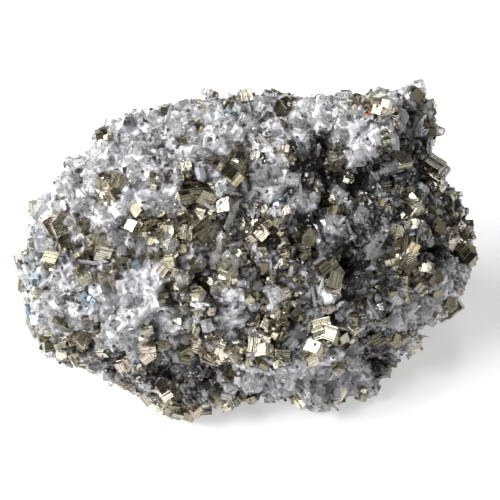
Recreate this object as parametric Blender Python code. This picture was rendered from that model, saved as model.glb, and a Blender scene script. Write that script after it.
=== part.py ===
"""A loose lump of vein rock overgrown with pyrite and quartz crystals, as one solid.

Row frame: metres, +Z up, the flat broken underside on Z = 0, +X to the right seen from the front.
The crystal-covered face looks towards -Y and up. Places on it are given in face coordinates, in
millimetres from the lump's middle: across to the right, up along the face, and out square to it.
"""
import math
import random

import bmesh
import bpy
import numpy as np
from mathutils import Matrix, Vector, noise
from mathutils.bvhtree import BVHTree

MM = 0.001

# The lump, in millimetres and degrees
FACE_LOOKS_UP = 50.0
MIDDLE = Vector((0.8, 2.3, 25.0))
FRONT_DEPTH = 24.0
BACK_DEPTH = 25.0
ROUNDING = 0.80
ROCK_INSET = 1.1
LUMP_DIVISIONS = 5
LUMP_SHARE_KEPT = 0.32
SLAB = 200.0

# Its ledges: blocks that are flat but tilted, set a little in or out, and roughened. Each block's
# step and tilt are read from noise at its middle times a number of its own.
BLOCK = 11.0
BLOCK_STEP = 1.6
BLOCK_TILT = 0.8
ROUGHNESS = 0.8
ROUGHNESS_SIZE = 5.0
STEP_PICK = 5.3
TILT_PICK = 3.7
RELIEF_AT_OUTLINE = 0.35

# The lump's outline seen square to its crystal face: (across, up)
OUTLINE = [
    (50.5, 0.0), (48.5, 9.5), (44.5, 14.5), (42.5, 19.0), (40.0, 22.5), (41.5, 28.5), (39.0, 35.5),
    (32.0, 35.5), (24.5, 34.0), (11.0, 33.5), (7.5, 35.0), (2.5, 33.5), (-4.5, 33.0), (-11.0, 33.5),
    (-19.0, 32.0), (-26.5, 29.0), (-31.5, 28.5), (-34.0, 24.5), (-33.5, 20.5), (-39.0, 19.5),
    (-43.0, 13.5), (-47.0, 10.0), (-49.0, 4.0), (-49.5, -10.5), (-48.5, -16.0), (-43.0, -25.0),
    (-41.0, -26.0), (-36.0, -24.5), (-31.5, -27.0), (-29.5, -30.0), (-23.0, -31.5), (-19.5, -34.5),
    (-11.0, -37.0), (-7.5, -34.0), (2.5, -32.5), (10.5, -32.5), (13.0, -35.0), (23.5, -32.5),
    (33.0, -25.5), (36.5, -20.5), (38.0, -17.0), (44.0, -14.0), (48.5, -5.5),
]

# Flat broken sides: which way each looks, in face coordinates. Each just clears the outline.
BREAKS = [
    Vector((-0.15, 0.78, 0.61)),
    Vector((0.76, 0.22, 0.61)),
    Vector((0.45, -0.65, 0.61)),
    Vector((-0.50, -0.62, 0.60)),
    Vector((-0.80, 0.25, 0.54)),
    Vector((0.55, 0.50, -0.67)),
    Vector((-0.55, 0.45, -0.70)),
    Vector((0.05, 0.60, -0.80)),
    Vector((0.80, -0.25, -0.54)),
    Vector((-0.82, -0.20, -0.54)),
]
BREAK_ROOM = 0.5

# Hollows in the face: (across, up, radius, depth)
HOLLOWS = [
    (24.5, 16.0, 4.0, 4.5), (15.0, 22.0, 4.0, 4.0), (15.5, 16.5, 3.5, 3.0), (-0.5, 18.0, 2.5, 2.5),
    (-26.0, -26.5, 4.5, 5.0), (-14.0, -26.5, 4.5, 5.0), (-8.0, -29.0, 3.5, 4.0),
    (-14.0, -20.0, 2.5, 2.5), (26.0, -24.5, 5.0, 5.0), (22.0, -2.5, 4.0, 3.5), (40.5, 1.0, 2.5, 2.0),
    (-41.0, 2.0, 2.5, 2.0), (18.0, 10.0, 3.0, 2.5), (-22.0, -2.0, 3.0, 1.8),
]

# Pyrite cubes on the face: (across, up, edge, turn in the face, tip out of it)
CUBES = [
    (-41.5, 5.7, 4.4, 45, 30), (-40.8, 2.0, 2.8, 20, 40), (-39.8, -0.6, 2.8, 5, 32),
    (-35.7, 5.7, 2.4, 30, 20), (-32.5, 2.6, 2.8, 60, 35), (-28.2, -1.1, 2.2, 30, 25),
    (-47.0, -6.7, 2.4, 15, 35), (-35.5, -5.9, 2.8, 20, 50), (-30.2, -6.0, 3.4, 35, 45),
    (-36.4, -10.3, 2.0, 10, 25), (-34.7, -10.3, 1.8, 30, 30), (-46.6, -13.7, 2.8, 20, 35),
    (-41.5, -14.0, 2.2, 40, 30), (-35.5, -14.9, 1.8, 15, 30), (-40.0, -16.2, 2.0, 70, 30),
    (-43.6, -19.4, 3.4, 25, 45), (-37.0, -19.4, 3.6, 50, 35), (-32.4, -17.7, 2.2, 10, 40),
    (-37.7, -23.3, 2.5, 30, 30), (-29.5, -28.8, 2.6, 60, 30), (-27.3, -29.5, 2.2, 15, 30),
    (-21.6, -21.3, 3.2, 5, 40), (-21.8, -17.0, 2.2, 10, 30), (-24.2, 5.1, 3.8, 25, 35),
    (-21.0, 5.5, 3.0, 25, 35), (-18.8, 3.8, 3.2, 40, 30), (-14.0, 3.3, 2.8, 80, 25),
    (-10.0, 5.1, 4.4, 35, 30), (-7.5, 3.5, 3.0, 40, 40), (-11.5, -3.3, 2.6, 20, 50),
    (-24.6, -2.9, 2.0, 30, 30), (-20.2, -2.4, 2.2, 5, 40), (-4.4, -3.5, 3.8, 35, 45),
    (-4.4, -7.3, 2.8, 75, 35), (-18.4, -10.2, 2.4, 15, 25), (-13.5, -11.0, 2.0, 20, 30),
    (-10.9, -9.5, 2.4, 50, 50), (-13.0, 12.4, 3.0, 10, 30), (-10.0, 12.6, 3.2, 0, 25),
    (-9.6, 10.8, 1.8, 15, 40), (12.2, 2.7, 3.4, 40, 40), (12.4, 0.0, 2.2, 5, 25),
    (16.9, -4.4, 4.4, 40, 30), (7.5, -8.9, 2.6, 20, 30), (18.4, -8.6, 2.6, 75, 25),
    (32.1, 4.0, 2.4, 75, 30), (34.7, 1.0, 3.8, 85, 20), (34.1, -2.9, 3.4, 50, 22),
    (36.1, -4.3, 1.8, 30, 30), (43.2, 2.4, 4.0, 50, 25), (45.3, 0.1, 2.0, 25, 30),
    (41.0, 5.1, 2.6, 60, 25), (47.3, -0.7, 3.8, 70, 40), (39.2, -5.5, 3.0, 40, 40),
    (31.5, -9.5, 1.8, 10, 30), (34.1, -10.2, 1.8, 50, 30), (43.3, -11.3, 2.6, 65, 35),
    (32.5, 12.9, 1.8, 70, 20), (35.0, 13.1, 1.8, 40, 25), (42.0, 13.7, 2.0, 50, 30),
    (46.5, 8.5, 1.8, 20, 40), (46.5, 5.3, 1.8, 50, 30), (-18.0, -30.2, 3.6, 55, 25),
    (-18.2, -33.8, 2.8, 5, 25), (-11.5, -33.8, 3.6, 30, 40), (-6.7, -32.0, 3.2, 50, 35),
    (-13.9, -22.0, 3.4, 20, 45), (-8.3, -23.0, 2.8, 60, 30), (-6.0, -21.4, 2.6, 20, 35),
    (-3.1, -22.2, 3.0, 40, 35), (-2.2, -26.2, 3.4, 70, 20), (2.4, -23.7, 2.2, 30, 45),
    (7.5, -23.2, 2.6, 10, 25), (31.7, -18.8, 3.4, 60, 30), (29.9, -15.3, 2.0, 20, 30),
    (19.5, -31.3, 2.8, 50, 35), (20.2, -18.8, 2.2, 30, 45), (19.0, -24.4, 2.2, 60, 40),
    (13.5, -23.5, 2.8, 20, 50), (-18.2, 30.6, 2.8, 40, 30), (-11.5, 27.0, 2.6, 30, 25),
    (-14.4, 23.4, 2.2, 20, 25), (-9.8, 24.0, 2.2, 50, 30), (-20.2, 15.0, 2.4, 15, 25),
    (-28.4, 14.5, 3.2, 70, 25), (-36.2, 17.0, 2.0, 30, 30), (-32.5, 25.3, 2.6, 15, 25),
    (-30.5, 24.4, 1.8, 50, 30), (-3.5, 16.4, 4.0, 70, 25), (-1.2, 20.3, 2.6, 10, 30),
    (28.6, 30.0, 3.4, 30, 45), (27.0, 32.4, 2.4, 60, 40), (22.0, 16.0, 1.8, 10, 20),
    (19.5, 21.5, 2.4, 20, 35), (40.3, 31.3, 2.6, 30, 40), (36.6, 33.8, 2.8, 50, 30),
    (39.8, 25.7, 2.2, 15, 40), (5.8, -12.9, 2.2, 40, 45), (6.2, -18.8, 2.2, 20, 40),
    (2.9, 5.3, 2.4, 50, 45), (24.6, -31.0, 2.4, 40, 30),
]

# Quartz prisms on the face: (across, up, length, width, heading of the tip in the face, rise out of it)
PRISMS = [
    (-35.3, 3.8, 5.2, 1.2, 35, 22), (-34.0, 3.2, 4.5, 1.0, 38, 22), (-29.1, 1.6, 5.0, 4.4, 60, 72),
    (-45.7, -2.7, 2.6, 1.3, 25, 35), (-38.1, -5.1, 6.0, 1.6, 40, 20), (-37.0, -8.6, 5.0, 1.3, 22, 20),
    (-21.7, 2.9, 3.0, 1.7, 80, 60), (-16.4, 1.1, 6.0, 4.6, 80, 70), (-9.6, 1.3, 4.6, 1.5, 35, 25),
    (-3.3, 7.8, 7.5, 1.8, 68, 22), (-5.5, 1.8, 6.0, 2.8, 85, 35), (-15.7, -3.5, 4.6, 1.3, 115, 25),
    (-14.2, -6.2, 4.5, 3.7, 100, 68), (-6.7, -2.0, 4.0, 2.6, 80, 45), (-6.9, -8.9, 4.0, 2.6, 130, 55),
    (22.2, 2.9, 3.4, 1.8, 15, 30), (19.7, 6.9, 2.4, 1.4, 0, 40), (22.0, 9.3, 3.4, 2.2, 60, 50),
    (12.4, -4.9, 4.0, 0.9, 90, 25), (27.9, 0.9, 8.5, 4.2, 242, 28), (29.5, 6.7, 6.0, 2.3, 45, 22),
    (38.9, -1.8, 3.6, 1.8, 10, 30), (25.9, -7.6, 5.4, 1.5, 20, 18), (28.0, -10.4, 3.2, 2.1, 90, 78),
    (38.8, -10.2, 6.5, 2.2, 315, 22), (35.5, -11.1, 5.5, 2.2, 310, 30), (-10.1, -26.6, 4.4, 2.2, 240, 38),
    (23.6, -15.0, 3.2, 2.5, 30, 70), (16.3, -27.0, 5.5, 2.6, 5, 18), (21.3, -28.8, 4.0, 2.6, 300, 40),
    (12.7, -31.5, 5.5, 3.0, 272, 10), (-3.3, -14.0, 4.5, 2.2, 50, 35), (-1.5, -12.5, 4.2, 1.4, 60, 28),
    (11.9, 27.0, 5.0, 2.6, 290, 30), (7.8, 20.2, 6.0, 2.1, 300, 25), (27.3, 21.7, 5.0, 2.5, 280, 45),
    (24.8, 20.5, 4.6, 2.0, 250, 45), (30.2, 23.3, 4.6, 1.1, 300, 22), (-18.8, 20.8, 3.0, 2.4, 60, 60),
    (-28.0, 20.0, 2.6, 1.6, 110, 40), (-46.5, -4.5, 3.2, 1.6, 200, 30), (17.0, -33.0, 4.0, 2.0, 290, 15),
    (31.0, -27.5, 4.2, 2.4, 320, 25), (45.5, -7.5, 3.6, 2.2, 340, 30), (41.0, 10.0, 3.4, 2.2, 50, 45),
    (-24.5, -32.0, 3.0, 1.5, 250, 15), (-33.0, -24.5, 2.6, 1.2, 250, 20), (0.5, 12.0, 4.0, 2.4, 30, 50),
]

# Milky quartz knobs on the face: (across, up, length, breadth, heading of the length)
KNOBS = [
    (-17.7, 10.0, 8.5, 5.5, 150), (3.8, -0.2, 6.0, 4.4, 150), (-26.0, -19.4, 6.2, 5.6, 30),
    (1.5, -18.2, 6.0, 4.4, 160), (0.2, -28.6, 7.0, 5.0, 10), (-17.3, -16.6, 4.6, 4.2, 60),
    (20.4, 26.4, 9.5, 4.4, 85), (33.2, 29.8, 4.0, 3.4, 60), (-45.0, 9.5, 6.0, 4.5, 40),
    (-46.5, 3.6, 6.5, 4.2, 80), (-36.6, 10.0, 6.0, 4.0, 30), (4.4, 15.5, 7.5, 5.0, 20),
    (9.5, -21.0, 5.4, 4.0, 30), (14.5, -30.0, 6.0, 4.4, 100), (-9.0, 30.5, 5.0, 3.6, 20),
    (38.0, -12.5, 5.5, 3.8, 330), (-41.5, -9.5, 5.0, 3.4, 120), (-30.0, -13.0, 5.5, 4.5, 20),
]

# How crystals are shaped and how deep they sit, as shares of their size. A crystal that misses the
# rock is moved towards the middle, to this share of its place, until it meets it.
CUBE_SIDES = Vector((1.0, 1.08, 0.94))
CUBE_STANDS_OUT = 0.12
PRISM_FLATNESS = 0.85
PRISM_ROOT = 0.5
PRISM_STANDS_OUT = 0.2
PRISM_TIP = 0.25
PRISM_SIDES = 6
SEARCH_STEP = 0.985
KNOB_HEIGHT = 0.6

# Crystals on the sides, top and back, placed by a seeded rule
SEED = 11
MOST_ELSEWHERE = 78
TRIES = 3000
KINDS_ELSEWHERE = {"cube": 6, "prism": 3, "knob": 1}
SIZES_ELSEWHERE = (2.2, 4.6)
SPACING = 0.75
LOWEST = 2.5
LEAN = 0.8
OUTWARD = 1.4
ROOM_SHARE = 0.6
THIN_PRISM = Vector((0.45, 0.4, 1.25))
FLAT_KNOB = Vector((0.8, 0.6, 0.36))

OUTLINE_POLAR = sorted((math.atan2(up, across), math.hypot(across, up)) for across, up in OUTLINE)
OUTLINE_ANGLES, OUTLINE_REACHES = zip(*OUTLINE_POLAR)


def face_directions():
    """Turns face coordinates into the row's directions."""
    tilt = math.radians(FACE_LOOKS_UP)
    across = Vector((1, 0, 0))
    up = Vector((0, math.sin(tilt), math.cos(tilt)))
    out = Vector((0, -math.cos(tilt), math.sin(tilt)))
    return Matrix((across, up, out)).transposed()


FACE = face_directions()


def relief(point):
    """How far the rock stands out or in at a point of the lump."""
    block = noise.voronoi(point / BLOCK)[1][0]
    step = BLOCK_STEP * noise.noise(block * STEP_PICK)
    slope = BLOCK_TILT * (noise.cell_vector(block * TILT_PICK) - Vector((0.5, 0.5, 0.5)))
    rough = ROUGHNESS * noise.noise(point / ROUGHNESS_SIZE)
    return step + slope.dot(point - block * BLOCK) + rough


def hollow_depth(point):
    """How deep the hollows of the face are at a point."""
    if point.z <= 0:
        return 0.0
    total = 0.0
    for across, up, radius, depth in HOLLOWS:
        apart = (point.x - across) ** 2 + (point.y - up) ** 2
        total += depth * math.exp(-apart / radius**2)
    return total


def broken_off(point):
    """The point drawn in towards the middle wherever a broken side has taken the bulge away."""
    for outward in BREAKS:
        reach = BREAK_ROOM + max(outward.x * across + outward.y * up for across, up in OUTLINE)
        point = point / max(1.0, point.dot(outward) / reach)
    return point


def rock_point(direction):
    """Where the bare rock's surface lies in a direction from the middle, in face coordinates."""
    level = max(math.hypot(direction.x, direction.y), 1e-6)
    heading = math.atan2(direction.y, direction.x)
    reach = np.interp(heading, OUTLINE_ANGLES, OUTLINE_REACHES, period=2 * math.pi) - ROCK_INSET
    side = reach * level ** (ROUNDING - 1)
    bulge = math.copysign(abs(direction.z) ** ROUNDING, direction.z)
    depth = bulge * (FRONT_DEPTH if bulge > 0 else BACK_DEPTH)
    point = broken_off(Vector((direction.x * side, direction.y * side, depth)))
    fade = RELIEF_AT_OUTLINE + (1 - RELIEF_AT_OUTLINE) * min(1.0, 2 * abs(direction.z))
    return point - Vector((0, 0, hollow_depth(point))) + direction * relief(point) * fade


def rock_skin():
    """The rock's bare surface as a closed mesh, in millimetres along the row's axes."""
    skin = bmesh.new()
    bmesh.ops.create_icosphere(skin, subdivisions=LUMP_DIVISIONS, radius=1.0)
    for vert in skin.verts:
        vert.co = MIDDLE + FACE @ rock_point(vert.co.normalized())
    bmesh.ops.recalc_face_normals(skin, faces=skin.faces)
    return skin


def with_modifiers_applied(thing):
    """The object's shape after its modifiers, as a bmesh, in place of the object."""
    shape = bmesh.new()
    shape.from_object(thing, bpy.context.evaluated_depsgraph_get())
    bpy.data.objects.remove(thing)
    return shape


def thinned(skin):
    """The skin in millimetres with a share of its faces kept, the flattest places losing the most."""
    holder = add_object("fine_skin", skin, bpy.context.scene.collection)
    thin_out = holder.modifiers.new("thin_out", "DECIMATE")
    thin_out.ratio = LUMP_SHARE_KEPT
    coarse = with_modifiers_applied(holder)
    coarse.transform(Matrix.Scale(1 / MM, 4))
    return coarse


def shells_of(shape):
    """The shape's separate shells, as lists of vertices, the largest last."""
    left = set(shape.verts)
    shells = []
    while left:
        shell = [left.pop()]
        for vert in shell:
            near = {edge.other_vert(vert) for edge in vert.link_edges} & left
            shell += sorted(near, key=lambda other: other.index)
            left -= near
        shells.append(shell)
    return sorted(shells, key=len)


def grown_together(skin, crystals, cutter):
    """The rock and its crystals as one solid, cut level below, with no sealed pockets inside."""
    lump = add_object("grown_together", skin, bpy.context.scene.collection)
    grow = lump.modifiers.new("grow_together", "BOOLEAN")
    grow.operation = "UNION"
    grow.operand_type = "COLLECTION"
    grow.collection = crystals
    level = lump.modifiers.new("level_underside", "BOOLEAN")
    level.operation = "DIFFERENCE"
    level.object = cutter
    solid = with_modifiers_applied(lump)
    for pocket in shells_of(solid)[:-1]:
        bmesh.ops.delete(solid, geom=pocket, context="VERTS")
    solid.transform(Matrix.Scale(1 / MM, 4))
    return solid


def on_face(tree, across, up):
    """The point and outward direction of the rock behind a place on the face."""
    inward = -FACE.col[2]
    point = None
    while point is None:
        start = MIDDLE + FACE @ Vector((across, up, 3 * FRONT_DEPTH))
        point, outward, _, _ = tree.ray_cast(start, inward)
        across, up = across * SEARCH_STEP, up * SEARCH_STEP
    return point, outward


def turned_along(direction, roll):
    """Directions whose Z runs along a direction, rolled about it."""
    return direction.to_track_quat("Z", "Y").to_matrix() @ Matrix.Rotation(roll, 3, "Z")


def cube_site(tree, across, up, edge, turn, tip):
    """A cube turned in the face, then tipped over an edge so that three of its sides show."""
    point, outward = on_face(tree, across, up)
    turned = Matrix.Rotation(math.radians(turn), 3, "Z")
    tipped = Matrix.Rotation(math.radians(tip), 3, Matrix.Rotation(math.radians(2 * turn), 3, "Z").col[0])
    return "cube", point + outward * edge * CUBE_STANDS_OUT, FACE @ tipped @ turned, CUBE_SIDES * edge


def prism_site(tree, across, up, length, width, heading, rise):
    """A six-sided prism whose root is in the rock and whose tip leans out of it."""
    point, outward = on_face(tree, across, up)
    flat, steep = math.radians(heading), math.radians(rise)
    tip = FACE @ Vector((math.cos(flat) * math.cos(steep), math.sin(flat) * math.cos(steep), math.sin(steep)))
    foot = point + outward * width * PRISM_STANDS_OUT - tip * length * PRISM_ROOT
    return "prism", foot, turned_along(tip, flat), Vector((width, width * PRISM_FLATNESS, length))


def knob_site(tree, across, up, length, breadth, heading):
    """A blunt lump lying along the face."""
    point, _ = on_face(tree, across, up)
    turned = FACE @ Matrix.Rotation(math.radians(heading), 3, "Z")
    return "knob", point, turned, Vector((length, breadth, KNOB_HEIGHT * breadth)) / 2


def site_elsewhere(chance, point, outward, size):
    """A crystal of the sides, top or back: its kind and the way it leans are drawn by lot."""
    kind = chance.choices(list(KINDS_ELSEWHERE), KINDS_ELSEWHERE.values())[0]
    lean = Vector((chance.uniform(-1, 1), chance.uniform(-1, 1), chance.uniform(-1, 1))) * LEAN
    roll = chance.uniform(0, 2 * math.pi)
    if kind == "cube":
        return kind, point, turned_along(outward + lean, roll), CUBE_SIDES * size
    if kind == "knob":
        return kind, point, turned_along(outward, roll), FLAT_KNOB * size
    tip = (OUTWARD * outward + lean).normalized()
    return kind, point - tip * size * PRISM_ROOT, turned_along(tip, roll), THIN_PRISM * size


def crystal_sites(skin):
    """Every crystal as (kind, middle or foot, directions, size), in millimetres."""
    tree = BVHTree.FromBMesh(skin)
    sites = [cube_site(tree, *cube) for cube in CUBES]
    sites += [prism_site(tree, *prism) for prism in PRISMS]
    sites += [knob_site(tree, *knob) for knob in KNOBS]
    taken = [(middle, ROOM_SHARE * max(size)) for _, middle, _, size in sites]
    most = len(sites) + MOST_ELSEWHERE
    chance = random.Random(SEED)
    faces = list(skin.faces)
    areas = [face.calc_area() for face in faces]
    for _ in range(TRIES):
        face = chance.choices(faces, areas)[0]
        size = chance.uniform(*SIZES_ELSEWHERE)
        point = face.calc_center_median()
        crowded = any((point - other).length < SPACING * (size + room) for other, room in taken)
        if crowded or point.z < LOWEST + size or len(sites) == most:
            continue
        taken.append((point, size))
        sites.append(site_elsewhere(chance, point, face.normal, size))
    return sites


def crystal_shape(kind):
    """One crystal of unit size: a cube, a prism standing on its foot, or a blunt lump."""
    shape = bmesh.new()
    if kind == "cube":
        bmesh.ops.create_cube(shape, size=1.0)
    elif kind == "knob":
        bmesh.ops.create_icosphere(shape, subdivisions=1, radius=1.0)
    else:
        shank = 1 - PRISM_TIP
        lifted = Matrix.Translation((0, 0, shank / 2))
        bmesh.ops.create_cone(
            shape, cap_ends=True, segments=PRISM_SIDES, radius1=0.5, radius2=0.5, depth=shank, matrix=lifted
        )
        end = max(shape.faces, key=lambda face: face.calc_center_median().z)
        bmesh.ops.poke(shape, faces=[end], offset=PRISM_TIP)
    return shape


def add_object(name, shape, collection):
    """Makes an object of a bmesh, in millimetres, and frees it."""
    shape.transform(Matrix.Scale(MM, 4))
    mesh = bpy.data.meshes.new(name)
    shape.to_mesh(mesh)
    shape.free()
    thing = bpy.data.objects.new(name, mesh)
    collection.objects.link(thing)
    return thing


def add_helper(name, shape, collection):
    """An object that only shapes the solid, so that it isn't a part itself."""
    helper = add_object(name, shape, collection)
    helper.hide_render = True
    helper.display_type = "WIRE"
    return helper


def add_crystals(skin, collection):
    """Every crystal as a helper, to be grown together with the rock."""
    for number, (kind, middle, turned, size) in enumerate(crystal_sites(skin)):
        shape = crystal_shape(kind)
        shape.transform(Matrix.LocRotScale(middle, turned, size))
        add_helper(f"{kind}_{number:03d}", shape, collection)


def add_underside_cutter(collection):
    """A slab below Z = 0, wider than the lump."""
    slab = bmesh.new()
    bmesh.ops.create_cube(slab, size=SLAB, matrix=Matrix.Translation((0, 0, -SLAB / 2)))
    return add_helper("underside_cutter", slab, collection)


def brassy_grey():
    """The lump's overall colour, between the pyrite's and the quartz's own."""
    material = bpy.data.materials.new("pyrite_and_quartz")
    material.use_nodes = True
    shader = material.node_tree.nodes["Principled BSDF"]
    shader.inputs["Base Color"].default_value = (0.42, 0.38, 0.29, 1)
    shader.inputs["Metallic"].default_value = 0.5
    shader.inputs["Roughness"].default_value = 0.4
    return material


def add_collection(name):
    collection = bpy.data.collections.new(name)
    bpy.context.scene.collection.children.link(collection)
    return collection


def main():
    for thing in list(bpy.data.objects):
        bpy.data.objects.remove(thing)
    crystals = add_collection("crystals")
    cutter = add_underside_cutter(add_collection("cutters"))
    skin = thinned(rock_skin())
    add_crystals(skin, crystals)
    lump = add_object("pyrite_cluster", grown_together(skin, crystals, cutter), add_collection("pyrite"))
    lump.data.materials.append(brassy_grey())


main()
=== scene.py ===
"""Dresses the pyrite and quartz cluster: fine rock, thousands of small crystals and their finishes.

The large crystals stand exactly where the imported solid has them: the same rule that grew the
solid places them here. Places on the crystal-covered face are in face coordinates, in millimetres
from the lump's middle: across to the right, up along the face, and out square to it.
"""
import itertools
import math
import random

import bmesh
import bpy
import numpy as np
from mathutils import Matrix, Vector, noise
from mathutils.bvhtree import BVHTree


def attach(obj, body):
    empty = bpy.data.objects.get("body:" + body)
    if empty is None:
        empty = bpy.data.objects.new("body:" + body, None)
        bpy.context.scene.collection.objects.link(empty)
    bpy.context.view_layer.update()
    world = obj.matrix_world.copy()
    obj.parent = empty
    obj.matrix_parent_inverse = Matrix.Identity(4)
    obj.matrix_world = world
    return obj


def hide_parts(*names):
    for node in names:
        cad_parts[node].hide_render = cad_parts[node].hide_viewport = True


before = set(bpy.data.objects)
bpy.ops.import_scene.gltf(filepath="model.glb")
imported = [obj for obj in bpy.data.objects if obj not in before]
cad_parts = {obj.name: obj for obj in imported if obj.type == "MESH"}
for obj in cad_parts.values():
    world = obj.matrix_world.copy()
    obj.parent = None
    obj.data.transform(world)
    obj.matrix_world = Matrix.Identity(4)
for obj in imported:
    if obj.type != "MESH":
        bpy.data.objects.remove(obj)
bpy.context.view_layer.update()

MM = 0.001

# The lump, in millimetres and degrees
FACE_LOOKS_UP = 50.0
MIDDLE = Vector((0.8, 2.3, 25.0))
FRONT_DEPTH = 24.0
BACK_DEPTH = 25.0
ROUNDING = 0.80
ROCK_INSET = 1.1
LUMP_DIVISIONS = 5
LUMP_SHARE_KEPT = 0.32

# Its ledges: blocks that are flat but tilted, set a little in or out, and roughened. Each block's
# step and tilt are read from noise at its middle times a number of its own.
BLOCK = 11.0
BLOCK_STEP = 1.6
BLOCK_TILT = 0.8
ROUGHNESS = 0.8
ROUGHNESS_SIZE = 5.0
STEP_PICK = 5.3
TILT_PICK = 3.7
RELIEF_AT_OUTLINE = 0.35

# The lump's outline seen square to its crystal face: (across, up)
OUTLINE = [
    (50.5, 0.0), (48.5, 9.5), (44.5, 14.5), (42.5, 19.0), (40.0, 22.5), (41.5, 28.5), (39.0, 35.5),
    (32.0, 35.5), (24.5, 34.0), (11.0, 33.5), (7.5, 35.0), (2.5, 33.5), (-4.5, 33.0), (-11.0, 33.5),
    (-19.0, 32.0), (-26.5, 29.0), (-31.5, 28.5), (-34.0, 24.5), (-33.5, 20.5), (-39.0, 19.5),
    (-43.0, 13.5), (-47.0, 10.0), (-49.0, 4.0), (-49.5, -10.5), (-48.5, -16.0), (-43.0, -25.0),
    (-41.0, -26.0), (-36.0, -24.5), (-31.5, -27.0), (-29.5, -30.0), (-23.0, -31.5), (-19.5, -34.5),
    (-11.0, -37.0), (-7.5, -34.0), (2.5, -32.5), (10.5, -32.5), (13.0, -35.0), (23.5, -32.5),
    (33.0, -25.5), (36.5, -20.5), (38.0, -17.0), (44.0, -14.0), (48.5, -5.5),
]

# Flat broken sides: which way each looks, in face coordinates. Each just clears the outline.
BREAKS = [
    Vector((-0.15, 0.78, 0.61)),
    Vector((0.76, 0.22, 0.61)),
    Vector((0.45, -0.65, 0.61)),
    Vector((-0.50, -0.62, 0.60)),
    Vector((-0.80, 0.25, 0.54)),
    Vector((0.55, 0.50, -0.67)),
    Vector((-0.55, 0.45, -0.70)),
    Vector((0.05, 0.60, -0.80)),
    Vector((0.80, -0.25, -0.54)),
    Vector((-0.82, -0.20, -0.54)),
]
BREAK_ROOM = 0.5

# Hollows in the face: (across, up, radius, depth)
HOLLOWS = [
    (24.5, 16.0, 4.0, 4.5), (15.0, 22.0, 4.0, 4.0), (15.5, 16.5, 3.5, 3.0), (-0.5, 18.0, 2.5, 2.5),
    (-26.0, -26.5, 4.5, 5.0), (-14.0, -26.5, 4.5, 5.0), (-8.0, -29.0, 3.5, 4.0),
    (-14.0, -20.0, 2.5, 2.5), (26.0, -24.5, 5.0, 5.0), (22.0, -2.5, 4.0, 3.5), (40.5, 1.0, 2.5, 2.0),
    (-41.0, 2.0, 2.5, 2.0), (18.0, 10.0, 3.0, 2.5), (-22.0, -2.0, 3.0, 1.8),
]

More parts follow.
